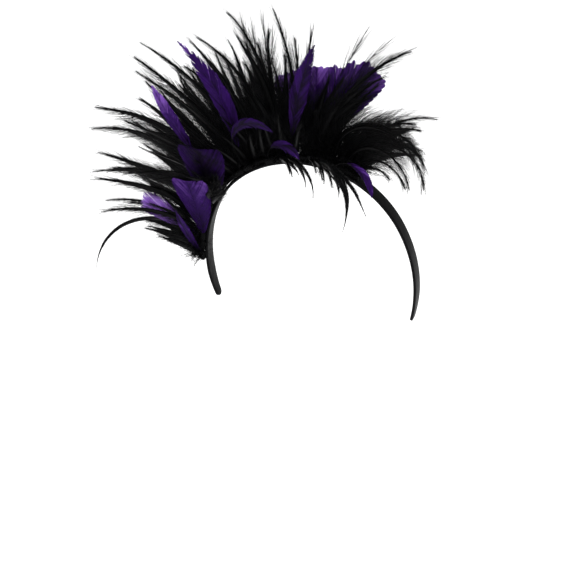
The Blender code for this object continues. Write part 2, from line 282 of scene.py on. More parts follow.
# A quill is followed past its tip in even steps, and its hook sets in towards the tip
quillRun = {"past": 1.25, "points": 101, "hookFrom": 0.8, "hookOver": 0.2, "hookPower": 1.5}
shaftForm = {"rings": 22, "taper": 0.8}
webForm = {"places": (0.02, 0.99, 26), "rootWidth": 0.0005, "rootDepth": 1.2, "barbOut": 0.1}


# Share of the half width at a place: the table read with straight lines and then
# averaged over a short stretch round it, so that it turns without corners
def breadthAt(outline, place):
    table = np.array(outlines[outline])
    return np.interp(np.asarray(place)[..., None] + stretch, table[:, 0], table[:, 1]).mean(-1)


# A quill that turns evenly: fan and lean gain bend and curl from root to tip, and the
# line adds up short steps along them. Past its tip it runs straight on. hook is what the
# fan gains more over the last fifth, where a thin tip droops aside.
def makeQuill(row, rank, fullLength, hook=0.0):
    seat, fan, bend, lean, curl, length, width, roll = row
    share = np.linspace(0, quillRun["past"], quillRun["points"])
    turned = np.minimum(share, 1)
    late = np.clip((share - quillRun["hookFrom"]) / quillRun["hookOver"], 0, 1)
    fan = np.radians(fan + bend * turned + hook * late ** quillRun["hookPower"])
    lean = np.radians(lean + curl * turned)
    roll = math.radians(roll)
    ahead = np.stack((np.sin(fan) * np.cos(lean), -np.sin(lean), np.cos(fan) * np.cos(lean)), -1)
    steps = (ahead[1:] + ahead[:-1]) / 2 * (share[1] * length * fullLength)
    root = archPoint(seat, pads["lift"] + pads["thickness"] / 2, -rankMiddle(rank))
    across = np.stack((np.cos(fan), fan * 0, -np.sin(fan)), -1)
    face = -np.stack((np.sin(fan) * np.sin(lean), np.cos(lean), np.cos(fan) * np.sin(lean)), -1)
    return {"share": share, "line": np.vstack((root, root + np.cumsum(steps, 0))), "ahead": ahead,
            "edge": across * math.cos(roll) + face * math.sin(roll),
            "front": face * math.cos(roll) - across * math.sin(roll), "length": length * fullLength}


# Reads a vector of the quill at any place on it, with straight lines between its points
def along(quill, key, place):
    return np.stack([np.interp(place, quill["share"], quill[key][:, axis])
                     for axis in range(3)], -1)


# The quill's line, edge and face at a place, for what is swept along it
def frameAt(quill, place):
    line, edge, ahead = (along(quill, key, place) for key in ("line", "edge", "ahead"))
    return line, edge, unit(np.cross(ahead, edge))


# The quill itself: a six-sided tube that goes from thick to thin by (place / end) to the
# power taper
def makeShaft(quill, thick, thin, end, material, shade=0.5, begin=0.0):
    place = np.linspace(begin, end, shaftForm["rings"])[None]
    size = thick + (thin - thick) * (place / end) ** shaftForm["taper"]
    return sweep(*frameAt(quill, place), size, size, shaftProfile, material,
                 barbOut=0.0, shade=shade)


# The close web beside the quill: a thin blade whose half width is a share of the vane's,
# a little wider and deeper at the root
def makeWeb(quill, outline, half, share, thickness, shade):
    place = np.linspace(*webForm["places"])[None]
    width = 2 * half * share * breadthAt(outline, place) + webForm["rootWidth"] * (1 - place)
    depth = thickness * (webForm["rootDepth"] - place)
    return sweep(*frameAt(quill, place), width, depth, webProfile, featherSlot,
                 barbOut=webForm["barbOut"], shade=shade)


# Barbs: each is a curve from the quill at start to a point (tipPlace along, tipReach
# across, tipRise out of the vane). Its middle is pulled outward, so it leaves the quill
# steeply and then bends to the tip. The vane's sides fall back by cup times the reach.
def makeBarbs(quill, start, tipPlace, tipReach, tipRise, look, shade):
    run = np.linspace(0, 1, look["rings"])[None]
    start, tipPlace, tipReach, tipRise = (v[:, None] for v in (start, tipPlace, tipReach, tipRise))
    pull = 2 * run * (1 - run)
    place = start * (1 - run) ** 2 + (start + look["lead"] * (tipPlace - start)) * pull \
        + tipPlace * run ** 2
    reach = look["swell"] * tipReach * pull + tipReach * run ** 2
    rise = tipRise * run ** 2 - look["cup"] * np.abs(reach)
    edge, front = along(quill, "edge", place), along(quill, "front", place)
    centres = along(quill, "line", place) + edge * reach[..., None] + front * rise[..., None]
    ahead = unit(np.gradient(centres, axis=1))
    up = unit(front - ahead * np.sum(front * ahead, -1, keepdims=True))
    across = np.cross(up, ahead)
    width = look["rootWidth"] + (look["tipWidth"] - look["rootWidth"]) * run ** look["taper"]
    width = np.broadcast_to(width, reach.shape)
    return sweep(centres, across, up, width, width * look["flat"], barbProfile, featherSlot,
                 barbOut=np.broadcast_to(run, reach.shape),
                 shade=np.broadcast_to(shade[:, None], reach.shape))


# Barbs cling together in locks: each value moves to its lock's mean by the share pull
def cling(values, lock, pull):
    mean = np.bincount(lock, values) / np.maximum(np.bincount(lock), 1)
    return values + (mean[lock] - values) * pull


# Lock numbers for a row of barbs, with a new lock about every size barbs
def makeLocks(count, size):
    return np.cumsum(rng.random(count) < 1 / size)


# A cock hackle. Lengths are in metres, and the rest are shares or, as a pair, the range
# that is drawn from. A narrow hackle (width share up to narrow) has no loose barbs.
hackle = {"length": 0.100, "width": 0.011, "shaft": 0.0010, "shaftTip": 0.0002, "shaftEnd": 0.985,
          "shaftLeast": 0.6, "shaftGain": 0.4, "web": 0.46, "webDepth": 0.00035, "narrow": 0.4,
          "narrowWeb": 0.85, "tones": (0.1, 0.4), "toneSpread": 0.1}
fringe = {"spacing": 0.00058, "fewest": 12, "first": 0.01, "over": 0.975, "crowding": 0.8,
          "length": 0.0175, "uneven": (0.75, 1.15), "forward": 0.92, "lastTip": 1.01,
          "tipSpread": 0.02, "open": (1.0, 1.4, 2.1), "openLength": 0.3, "veil": 0.6,
          "veilFrom": 0.9, "reach": 1.20, "extraReach": (0.0001, 0.0012), "sleekLeast": 0.35,
          "sleekGain": 0.65, "lockSize": 3.0, "pulls": (0.1, 0.7), "tipPull": 0.6,
          "close": (1.03, 0.20, 0.01), "ripple": 0.16, "rippleLeast": 0.001,
          "ripplePull": 0.8, "rough": 0.0002, "lifts": (-0.0002, 0.0003)}
loose = {"spacing": 0.0014, "fewest": 6, "starts": (0.15, 0.93), "length": 0.022,
         "lengths": (0.6, 1.1), "lastTip": 1.07, "reach": 0.0066, "reaches": (0.5, 1.2),
         "close": (1.12, 0.3, 0.2), "rise": 0.0016, "openMost": 1.5}
hackleBarb = {"rings": 4, "lead": 0.30, "swell": 0.60, "cup": 0.15, "rootWidth": 0.00036,
              "tipWidth": 0.00005, "taper": 0.75, "flat": 0.45}
fillerBarb = dict(hackleBarb, rings=3)
looseBarb = dict(hackleBarb, rings=3, rootWidth=0.00022, tipWidth=0.00005, lead=0.4, swell=0.5)


# Share that falls in a straight line towards the quill's tip: (at - tip) / over, from 1 to least
def fallOff(tip, at, over, least):
    return np.clip((at - tip) / over, least, 1)


# Single fine barbs that stand out of the vane on one side. Their reach is an uneven
# share of the full one times spread, and falls off towards the quill's tip.
def growLoose(quill, side, count, spread, tone):
    start = rng.uniform(*loose["starts"], count)
    run = loose["length"] * rng.uniform(*loose["lengths"], count) / quill["length"]
    tip = np.minimum(start + run, loose["lastTip"])
    reach = loose["reach"] * rng.uniform(*loose["reaches"], count) * spread
    reach *= fallOff(tip, *loose["close"])
    rise = rng.normal(0, loose["rise"], count)
    return makeBarbs(quill, start, tip, side * reach, rise, looseBarb, tone + 0 * start)


# A close dark web along the quill and, out of it, long fine barbs that run forward at a
# low angle and end in a veil. A barb's reach is the vane's half width at its tip, uneven,
# times fringe and times opening, which says how far the side stands open. Locks draw
# together, every other barb lies over the web, and a wide hackle's second side is thin.
def growHackle(row, plume, rank, barb, spacing=1.0, hook=0.0, openness=None):
    length, width = row[5], row[6]
    wide = width > hackle["narrow"]
    quill = makeQuill(row, rank, hackle["length"], hook)
    half = width * hackle["width"] / 2
    web = plume.get("web", hackle["web"]) if wide else hackle["narrowWeb"]
    tone = rng.uniform(*hackle["tones"])
    thick = hackle["shaft"] * (hackle["shaftLeast"] + hackle["shaftGain"] * length)
    parts = [makeShaft(quill, thick, hackle["shaftTip"], hackle["shaftEnd"], stemSlot, tone),
             makeWeb(quill, "hackle", half, web, hackle["webDepth"], tone)]
    full = max(fringe["fewest"], int(quill["length"] / (fringe["spacing"] * spacing)))
    sparse = max(loose["fewest"], int(quill["length"] / (loose["spacing"] * spacing)))
    sleek = min(1.0, fringe["sleekLeast"] + fringe["sleekGain"] * width)
    for side, count in ((-1, full), (1, sparse if wide else full)):
        opening = openness or (rng.choice(fringe["open"]) if wide else 1.0)
        even = (np.arange(count) + rng.random(count)) / count
        start = fringe["first"] + fringe["over"] * even ** fringe["crowding"]
        barbLength = fringe["length"] * sleek * opening ** fringe["openLength"] \
            * rng.uniform(*fringe["uneven"], count)
        tip = np.minimum(start + fringe["forward"] * barbLength / quill["length"],
                         fringe["lastTip"] + rng.uniform(0, fringe["tipSpread"], count))
        veil = np.maximum(breadthAt("hackle", tip), fringe["veil"] * (opening - fringe["veilFrom"]))
        reach = half * veil * rng.uniform(*fringe["uneven"], count) * fringe["reach"]
        reach = reach * plume.get("fringe", 1.0) * opening
        reach += rng.uniform(*fringe["extraReach"], count) * sleek
        lock = makeLocks(count, fringe["lockSize"])
        pull = rng.uniform(*fringe["pulls"], lock[-1] + 1)[lock]
        tip = cling(tip, lock, pull * fringe["tipPull"])
        reach = cling(reach, lock, pull) * fallOff(tip, *fringe["close"])
        ripple = rng.normal(0, fringe["ripple"], count) * (reach + fringe["rippleLeast"])
        rise = cling(ripple, lock, fringe["ripplePull"]) + rng.normal(0, fringe["rough"], count)
        rise += np.array(fringe["lifts"])[np.arange(count) % 2]
        shade = tone + rng.uniform(-hackle["toneSpread"], hackle["toneSpread"], count)
        parts.append(makeBarbs(quill, start, tip, side * reach, rise, barb, shade))
        if wide:
            spread = min(opening, loose["openMost"]) * sleek
            parts.append(growLoose(quill, side, sparse, spread, tone))
    return parts


# Down: lengths in metres, spreads in degrees, turns in radians
downForm = {"rings": 3, "fanSpread": 24, "leanSpread": 26, "turnSpread": 0.5, "rootAt": 0.8,
            "rootSpread": 0.45, "lengths": (0.010, 0.024), "width": 0.0006, "thinning": 0.0005,
            "flat": 0.5, "tones": (0.1, 0.5), "aside": (0.3, -0.9, 0.2)}


# Short loose down at the roots: single barbs out of the pad, each in the direction of one
# of the plume's quills plus a random turn, so that the pad is hidden
def growDown(plume, count):
    rows = np.array(plume["quills"], float)
    pick = rows[rng.integers(0, len(rows), count)]
    seat = rng.uniform(plume["start"], plume["end"], count)
    rank = plume["rank"]
    spread = pads["width"] if rank == 0 else pads["footWidth"]
    aside = rng.uniform(-downForm["rootSpread"], downForm["rootSpread"], count) * spread
    root = archPoint(seat, pads["lift"] + pads["thickness"] * downForm["rootAt"],
                     -rankMiddle(rank) + aside)
    fan = np.radians(pick[:, 1] + rng.normal(0, downForm["fanSpread"], count))
    lean = np.radians(pick[:, 3] + rng.normal(0, downForm["leanSpread"], count))
    turn = rng.normal(0, downForm["turnSpread"], (count, 2))
    size = rng.uniform(*downForm["lengths"], count) * plume.get("downLength", 1.0)
    run = np.linspace(0, 1, downForm["rings"])[None]
    fanAt, leanAt = fan[:, None] + turn[:, :1] * run, lean[:, None] + turn[:, 1:] * run
    ahead = np.stack((np.sin(fanAt) * np.cos(leanAt), -np.sin(leanAt),
                      np.cos(fanAt) * np.cos(leanAt)), -1)
    centres = root[:, None] + ahead * (run * size[:, None])[..., None]
    ahead = unit(np.gradient(centres, axis=1))
    side = unit(np.cross(np.array(downForm["aside"]), ahead))
    width = downForm["width"] - downForm["thinning"] * np.broadcast_to(run, centres.shape[:2])
    shade = rng.uniform(*downForm["tones"], (count, 1))
    return sweep(centres, np.cross(side, ahead), side, width, width * downForm["flat"],
                 barbProfile, featherSlot, barbOut=run, shade=shade)


# A strip that follows the band: its width runs along y and its outer face looks out
def sweepStrip(centres, width, depth, profile, material=0):
    ahead = unit(np.gradient(centres, axis=1))
    across = np.broadcast_to(np.array((0.0, 1.0, 0.0)), centres.shape)
    return sweep(centres, across, np.cross(ahead, across), width, depth, profile, material)


# The felt pad: a rounded strip between two seats. Its share of the full size is endShare
# plus endGain times half the number of rings to its end, and one at most.
def makePad(start, end, rank):
    heading = np.linspace(start, end, pads["rings"])
    width = pads["footWidth"] if rank else pads["width"]
    centres = archPoint(heading, pads["lift"] + pads["thickness"] / 2, -rankMiddle(rank))[None]
    ring = np.arange(pads["rings"])
    inward = np.minimum(ring, ring[::-1]) / 2
    ends = np.minimum(1, pads["endShare"] + pads["endGain"] * inward)[None]
    profile = stripProfile(width, pads["thickness"], pads["rounding"], 4)
    return sweepStrip(centres, width * ends, pads["thickness"] * ends, profile, feltSlot)


# Rows are quills: seat on the band and fan across the head (degrees from the top to the
# wearer's left), bend, lean forward, curl, length and width shares, and roll. over and
# front rows lie before the plume's own, wisps are quills with loose barbs only, hooks and
# opened are for single quills by number, and web, fringe and downLength are shares.
plumeTable = (
    {"name": "plumeSideLow", "node": "plume_side_low", "rank": 0, "start": -86, "end": -68,
     "fillers": 3, "down": 420, "fringe": 0.6, "quills": (
        (-82, -45, -125, 6, 0, 1.06, 0.35, 10), (-79, -27, -86, 36, -34, 0.79, 0.60, -15),
        (-76, -60, -40, 1, 0, 0.76, 0.60, 10), (-73, -78, -20, -8, 0, 0.62, 1.20, 10),
        (-70, -56, -30, 10, 0, 0.82, 0.95, -10), (-84, -58, -30, -4, 0, 0.36, 1.20, 10),
        (-80, -66, -25, 4, 0, 0.42, 1.40, -10), (-72, -60, -10, -6, 0, 0.55, 1.40, 5)),
     "front": ((-81, -50, -30, 14, 0, 0.34, 1.10, 0), (-85, -44, -30, 20, 0, 0.32, 1.10, 0),
               (-84, -56, -20, 12, 0, 0.40, 0.90, 0), (-87, -52, -16, 14, 0, 0.26, 1.10, 0),
               (-86, -50, -22, 16, 0, 0.42, 1.00, 0), (-83, -47, -34, 10, 0, 0.44, 1.00, 0),
               (-88, -46, -20, 20, 0, 0.34, 1.00, 0), (-79, -34, -5, 10, 3, 0.41, 0.80, 0),
               (-79, -37, -33, 9, 2, 0.43, 0.70, 0)),
     "over": ((-86, -108, -20, 24, 0, 0.12, 1.10, 0), (-85, -118, -20, 30, 0, 0.10, 1.20, 0))},
    {"name": "plumeSide", "node": "plume_side", "rank": 0, "start": -67, "end": -51,
     "fillers": 8, "down": 420, "quills": (
        (-65, -50, -55, 4, 0, 0.89, 0.90, 10), (-62, -70, -12, -6, 0, 0.92, 1.00, -15),
        (-60, -40, -50, -10, 0, 0.91, 0.85, 20), (-56, -25, -75, 6, 0, 1.02, 0.70, 0),
        (-53, -25, -70, 0, 0, 1.07, 1.00, -10), (-64, -62, -20, 3, 0, 0.55, 1.40, 10),
        (-58, -45, -20, -4, 0, 0.60, 1.40, 15), (-54, -38, -20, -8, 0, 0.58, 1.40, -10)),
     "over": ((-62, -40, -60, 18, -12, 0.66, 0.90, 10), (-58, -34, -70, 24, -14, 0.60, 1.00, -8),
              (-64, -44, -50, 14, -10, 0.74, 0.80, 5), (-53, -30, -60, 46, -14, 0.52, 1.00, 0),
              (-55, -30, -70, 40, -20, 0.40, 1.00, 0), (-60, -30, -80, 20, -10, 0.44, 1.20, 0),
              (-56, -20, -70, 44, -14, 0.40, 1.00, 0)),
     "front": ((-62, 6, 40, 69, -69, 0.39, 0.90, 0), (-62, 24, 38, 59, -44, 0.40, 0.90, 0),
               (-64, 10, 44, 38, -5, 0.37, 0.90, 0), (-61, 30, 19, 60, -55, 0.38, 0.90, 0),
               (-49, -14, -14, 62, -30, 0.36, 0.90, 0), (-51, -28, 9, 64, -18, 0.23, 1.00, 0),
               (-54, -20, 4, 59, -6, 0.22, 1.00, 0), (-57, -14, 0, 58, -20, 0.24, 0.90, 0),
               (-46, -36, 4, 62, -16, 0.46, 0.70, 0), (-55, 6, 20, 52, -30, 0.32, 1.10, 0),
               (-58, 32, -23, 67, -42, 0.33, 1.00, 0), (-58, 37, 4, 65, -50, 0.32, 1.00, 0),
               (-60, 34, -33, 64, -59, 0.31, 1.00, 0), (-58, 6, 47, 74, -79, 0.32, 1.00, 0),
               (-54, 20, 10, 60, -40, 0.26, 1.20, 0), (-51, 10, 10, 60, -40, 0.26, 1.20, 0))},
    {"name": "plumeUpperSide", "node": "plume_upper_side", "rank": 0, "start": -50, "end": -35,
     "fillers": 8, "down": 400, "quills": (
        (-48, -38, -30, 13, 0, 0.80, 1.10, 10), (-45, -34, -25, -8, 0, 0.86, 1.10, -10),
        (-42, -30, -20, 10, 0, 0.60, 1.40, 10), (-40, -24, -20, -6, 0, 0.70, 1.20, 15),
        (-38, -30, -40, -5, 0, 0.97, 0.90, 0), (-37, -22, -10, -10, 0, 0.50, 1.20, 0)),
     "over": ((-48, -26, -30, 26, -6, 0.50, 1.20, 10), (-44, -18, -40, 28, -8, 0.56, 1.20, -8),
              (-40, -12, -40, 42, -8, 0.48, 1.20, 5), (-36, -6, -30, 42, -6, 0.46, 1.10, 0),
              (-47, -10, -20, 46, -6, 0.40, 1.20, 0), (-42, -4, -20, 48, -6, 0.36, 1.20, 0))},
    {"name": "plumeCrestRight", "node": "plume_crest_right", "rank": 0, "start": -34, "end": -19,
     "fillers": 12, "down": 400, "quills": (
        (-32, -30, -20, 8, 0, 1.04, 0.80, -15), (-30, -16, -44, 4, 0, 1.10, 0.90, 10),
        (-26, -13, -34, -8, 0, 0.91, 0.90, -10), (-20, 8, -68, 0, 0, 0.98, 0.90, 10),
        (-23, -7, -12, -6, 0, 0.83, 1.10, 10), (-28, -22, -20, 2, 0, 0.60, 1.40, 0),
        (-21, -10, -10, -4, 0, 0.50, 1.30, 0)),
     "over": ((-31, -2, -30, 36, -6, 0.44, 1.20, 0), (-26, 2, 20, 38, -6, 0.40, 1.20, 8),
              (-21, 8, 10, 36, -6, 0.42, 1.10, -8), (-24, -8, -20, 32, -6, 0.50, 1.20, 0))},
    {"name": "plumeCrest", "node": "plume_crest", "rank": 0, "start": -18, "end": -3,
     "fillers": 11, "down": 400, "fillerLength": (0.4, 0.66), "hooks": {1: -18},
     "opened": {1: 2.0}, "quills": (
        (-15, 12, -46, 6, 0, 0.95, 1.00, -10), (-12, 3, -35, 0, 0, 1.05, 1.00, 15),
        (-8, -2, 4, -8, 0, 0.68, 1.00, -15), (-5, 12, -30, 0, 0, 1.03, 0.50, 10),
        (-10, -12, 12, -6, 0, 0.86, 0.90, 0), (-15, -8, -10, 12, 0, 0.60, 1.30, 0),
        (-7, 0, 5, 4, 0, 0.55, 1.40, 0), (-4, 4, 6, 8, 0, 0.55, 1.20, 0)),
     "over": ((-15, 0, 10, 34, -6, 0.46, 1.20, 0), (-10, 6, 10, 32, -6, 0.50, 1.20, 8),
              (-6, 2, -10, 32, -6, 0.44, 1.20, -8), (-4, 14, 20, 34, -6, 0.46, 1.10, 0)),
     "wisps": ((-15, -13, 4, -4, 0, 0.95, 0.5, 0), (-11, -17, 14, -3, 0, 0.92, 0.5, 0),
               (-14, 0, -6, -3, 0, 0.97, 0.5, 0), (-8, -17, 27, -3, 0, 0.86, 0.5, 0))},
    {"name": "plumeCrestLeft", "node": "plume_crest_left", "rank": 0, "start": -2, "end": 14,
     "fillers": 9, "down": 400, "fillerLength": (0.4, 0.62), "opened": {4: 1.8}, "quills": (
        (0, -2, -3, -10, 0, 0.78, 0.70, 10), (2, -4, 12, -12, 0, 0.84, 0.70, -10),
        (4, 6, 20, -4, 0, 0.60, 1.30, 15), (7, 12, 30, 4, 0, 0.55, 1.40, 0),
        (8, 12, 54, -8, 0, 1.02, 0.80, 10), (10, 16, 30, -12, 0, 0.62, 1.30, 10),
        (12, 18, 32, -8, 0, 0.66, 0.80, -10)),
     "over": ((9, 12, 50, -2, 0, 0.80, 0.80, 0), (7, 12, 56, 2, 0, 0.66, 0.90, 8)),
     "wisps": ((10, 8, 44, -4, 0, 1.00, 0.5, 0), (6, 10, 26, -8, 0, 0.94, 0.5, 0))},
    {"name": "plumeDroopLeft", "node": "plume_droop_left", "rank": 0, "start": 15, "end": 32,
     "fillers": 4, "down": 320, "fringe": 1.7, "web": 0.18, "quills": (
        (16, 0, 160, 8, 0, 0.98, 0.90, 10), (18, -4, 150, 12, 0, 0.88, 0.90, -15),
        (20, 12, 130, 0, 0, 0.70, 1.30, 10), (22, 14, 170, 0, 0, 0.82, 0.90, 15),
        (24, 4, 170, 14, 0, 0.72, 0.90, 0), (27, 22, 150, 6, 0, 0.50, 1.00, -10),
        (30, 22, 120, 12, 0, 0.30, 1.20, 0))},
    {"name": "plumeBackSide", "node": "plume_back_side", "rank": -1, "start": -71, "end": -56,
     "fillers": 4, "down": 180, "quills": (
        (-69, -66, -20, -16, 0, 0.80, 1.00, 0), (-66, -56, -30, -24, 0, 0.76, 1.10, 0),
        (-62, -52, -20, -18, 0, 0.85, 1.00, 0), (-58, -46, -30, -26, 0, 0.72, 1.10, 0))},
    {"name": "plumeBackCrest", "node": "plume_back_crest", "rank": -1, "start": -44, "end": -16,
     "fillers": 12, "down": 260, "quills": (
        (-41, -34, -20, -22, 0, 0.80, 1.00, 0), (-36, -28, -16, -16, 0, 0.74, 1.00, 0),
        (-31, -22, -16, -26, 0, 0.78, 1.10, 0), (-26, -18, -14, -18, 0, 0.72, 1.00, 0),
        (-21, -10, -16, -24, 0, 0.76, 1.10, 0), (-17, -6, -10, -16, 0, 0.74, 0.90, 0))},
    {"name": "plumeBackLeft", "node": "plume_back_left", "rank": -1, "start": 12, "end": 30,
     "fillers": 6, "down": 320, "web": 0.36, "quills": (
        (14, 40, 50, -14, 0, 0.62, 1.00, 0), (18, 36, 70, -24, 0, 0.60, 1.10, 0),
        (23, 44, 70, -16, 0, 0.52, 1.00, 0), (28, 50, 60, -22, 0, 0.44, 1.10, 0))},
    {"name": "plumeBrowRight", "node": "plume_brow_right", "rank": 1, "start": -13, "end": -8,
     "fillers": 1, "down": 40, "downLength": 0.6, "quills": (
        (-12, 60, 70, 34, 0, 0.26, 0.30, 10), (-10, 46, 120, 35, 0, 0.50, 0.30, 0)),
     "over": ((-9, 40, 120, 40, 0, 0.40, 0.40, 0), (-12, 30, 120, 44, 0, 0.30, 0.40, 0),
              (-9, 30, 100, 56, 0, 0.28, 0.80, 0))},
    {"name": "plumeBrowLeft", "node": "plume_brow_left", "rank": 1, "start": 5, "end": 13,
     "fillers": 1, "down": 50, "downLength": 0.6, "quills": (
        (6, 58, 140, 35, 0, 0.68, 0.30, 0), (9, 75, 80, 30, 0, 0.57, 0.30, 10),
        (12, 60, 110, 45, 0, 0.36, 0.30, 10)),
     "over": ((7, 30, 130, 40, 0, 0.44, 0.40, 0), (11, 66, 120, 36, 0, 0.50, 0.40, 0),
              (5, 20, 150, 44, 0, 0.36, 0.40, 0), (8, 40, 90, 58, 0, 0.30, 0.80, 0),
              (6, 10, 120, 56, 0, 0.28, 0.80, 0), (12, 60, 80, 56, 0, 0.30, 0.80, 0))},
)

# A filler is one of the plume's rows, moved at random by up to about spread, with part of
# the bend, shorter and wider. Spacings make the barbs of hidden hackles fewer.
filler = {"spread": (0, 9, 12, 11, 0, 0, 0, 18), "inset": 1, "bend": 0.5, "lengths": (0.55, 0.92),
          "leastWidth": 0.7, "widths": (1.0, 1.4), "hook": 24}
wisp = {"thick": 0.0005, "thin": 0.0001, "end": 0.98, "barbs": 70, "spread": 1.0, "tone": 0.6}
spacings = {"over": 1.2, "front": 1.3, "filler": 1.4}
ownHook = 7   # degrees that an own quill's tip hooks by, about

# Each plume: its own quills, rows over and before them, wisps, fillers, down and the pad
for plume in plumeTable:
    parts = []
    rank = plume["rank"]
    for place, row in enumerate(plume["quills"]):
        hook = plume.get("hooks", {}).get(place, rng.normal(0, ownHook))
        openness = plume.get("opened", {}).get(place)
        parts += growHackle(row, plume, rank, hackleBarb, hook=hook, openness=openness)
    for row in plume.get("over", ()):
        parts += growHackle(row, plume, rank, fillerBarb, spacings["over"])
    for row in plume.get("front", ()):
        parts += growHackle(row, plume, 1, fillerBarb, spacings["front"])
    for row in plume.get("wisps", ()):
        quill = makeQuill(row, rank, hackle["length"])
        parts.append(makeShaft(quill, wisp["thick"], wisp["thin"], wisp["end"], stemSlot))
        parts += [growLoose(quill, side, wisp["barbs"], wisp["spread"], wisp["tone"])
                  for side in (-1, 1)]
    rows = np.array(plume["quills"], float)
    rows = rows[rows[:, 6] > hackle["narrow"]] if plume["fillers"] > 1 else rows
    for _ in range(plume["fillers"]):
        row = rows[rng.integers(0, len(rows))] + rng.normal(0, 1, 8) * filler["spread"]
        row[0] = rng.uniform(plume["start"] + filler["inset"], plume["end"] - filler["inset"])
        row[2] *= filler["bend"]
        row[5] *= rng.uniform(*plume.get("fillerLength", filler["lengths"]))
        row[6] = max(row[6], filler["leastWidth"]) * rng.uniform(*filler["widths"])
        hook = rng.normal(0, filler["hook"])
        parts += growHackle(row, plume, rank, fillerBarb, spacings["filler"], hook)
    parts.append(growDown(plume, plume["down"]))
    parts.append(makePad(plume["start"], plume["end"], rank))
    piece = putMesh(plume["name"], parts, (blackHackle, blackQuill, blackFelt))
    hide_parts(plume["node"])
print("black plumes grown")

# A trimmed goose feather: close flat barbs, all at one angle, cut off at the outline.
# Below from, a feather with a long bare stem shows it black, up to stemPast beyond from.
# Barbs near the quill's root are darkened and lift to full tone further out, by the root share and
# its gain at the end of this table: painted shade where the black plumes lie over it
vane = {"length": 0.070, "width": 0.024, "spacing": 0.00056, "shaft": 0.0006, "shaftTip": 0.0003,
        "shaftEnd": 0.97, "shaftTone": 0.8, "stemFrom": 0.2, "stemPast": 0.06, "stemThick": 1.1,
        "first": 0.04, "lastGap": 0.004, "fewest": 10, "starts": (0.2, 0.8), "slitLeast": 0.02,
        "cutMost": 0.6, "frayFrom": 0.5, "frayOver": 0.4, "wavePull": 0.95, "lift": 0.00006,
        "paintedShadeAtRoot": 0.15, "paintedShadeLift": 0.85, "toneSpread": 0.10}
vaneBarb = {"rings": 4, "lead": 0.44, "swell": 0.54, "cup": 0.15, "rootWidth": 0.00070,
            "tipWidth": 0.00056, "taper": 1.0, "flat": 0.30}
# Points on the traced outline: up to fineFrom, from there to the tip, and across the tip
trace = {"fineFrom": 0.9, "coarse": 300, "fine": 120, "across": 20, "least": 0.0002}


# The cut follows the outline: each point of it is traced back along the barb angle to
# the quill, and barbs evenly spaced on the quill take their ends from that. Locks draw
# together a little, so slits open between them. scallop cuts round teeth into the edge
# and fray shortens single barbs towards the tip.
def growVane(row, rank, look):
    quill = makeQuill(row, rank, vane["length"])
    half = row[6] * vane["width"] / 2
    thick = vane["shaft"] * (0.5 + 0.5 * row[6] ** 0.5)
    bare = look["from"] if look["from"] > vane["stemFrom"] else 0.0
    parts = [makeShaft(quill, thick, vane["shaftTip"], vane["shaftEnd"], featherSlot,
                       look["shade"] * vane["shaftTone"], bare)]
    if bare:
        parts.append(makeShaft(quill, thick * vane["stemThick"], thick, bare + vane["stemPast"],
                               stemSlot))
    place = np.concatenate((np.linspace(look["from"], trace["fineFrom"], trace["coarse"]),
                            np.linspace(trace["fineFrom"], 1.0, trace["fine"])[1:]))
    edge = half * breadthAt(look["outline"], place)
    place = np.append(place, np.full(trace["across"], 1.0))
    edge = np.append(edge, np.linspace(edge[-1], trace["least"], trace["across"]))
    point = np.arange(len(place))
    back = place - edge / math.tan(math.radians(look["barbAngle"])) / quill["length"]
    back = np.maximum.accumulate(back + point * 1e-6)   # always a step on, so it can be read back
    path = np.append(0, np.cumsum(np.hypot(np.diff(place) * quill["length"], np.diff(edge))))
    for side in (-1, 1):
        first, last = max(vane["first"], back[0]), back[-1] - vane["lastGap"]
        count = max(vane["fewest"], int((last - first) * quill["length"] / vane["spacing"]))
        even = (np.arange(count) + rng.uniform(*vane["starts"], count)) / count
        start = first + (last - first) * even
        spot = np.interp(start, back, point)
        lock = makeLocks(count, look["lockSize"])
        spot = cling(spot, lock, rng.uniform(vane["slitLeast"], look["slit"], lock[-1] + 1)[lock])
        tip = np.interp(spot, point, place)
        reach = np.interp(spot, point, edge)
        size = np.hypot((tip - start) * quill["length"], reach) + 1e-6
        cut = rng.uniform(0, look["ragged"], count)
        if look.get("scallop"):
            tooth = np.interp(spot, point, path) / look["scallop"] % 1
            cut = cut + look["scallopDepth"] * (1 - np.sin(np.pi * tooth))
        if look.get("fray"):
            late = np.clip((tip - vane["frayFrom"]) / vane["frayOver"], 0, 1)
            cut = cut + look["fray"] * rng.random(count) ** 2 * late
        keep = 1 - np.minimum(cut / size, vane["cutMost"])
        tip, reach = start + (tip - start) * keep, reach * keep
        wave = cling(rng.normal(0, look["wave"], count), lock, vane["wavePull"])
        layer = np.where(np.arange(count) % 2, vane["lift"], -vane["lift"])
        rise = wave * reach / max(half, 1e-6) + layer
        # Painted shade: barbs that start near the quill's root are darker, lifting to full tone
        # further out
        outward = np.clip((start - look["from"]) / look["paintedShadeReach"], 0, 1)
        shade = look["shade"] * (vane["paintedShadeAtRoot"] + vane["paintedShadeLift"] * outward)
        shade += rng.uniform(-vane["toneSpread"], vane["toneSpread"], count) \
            + rng.normal(0, look["streak"], lock[-1] + 1)[lock]
        parts.append(makeBarbs(quill, start, tip, side * reach, rise, vaneBarb, shade))
    return parts
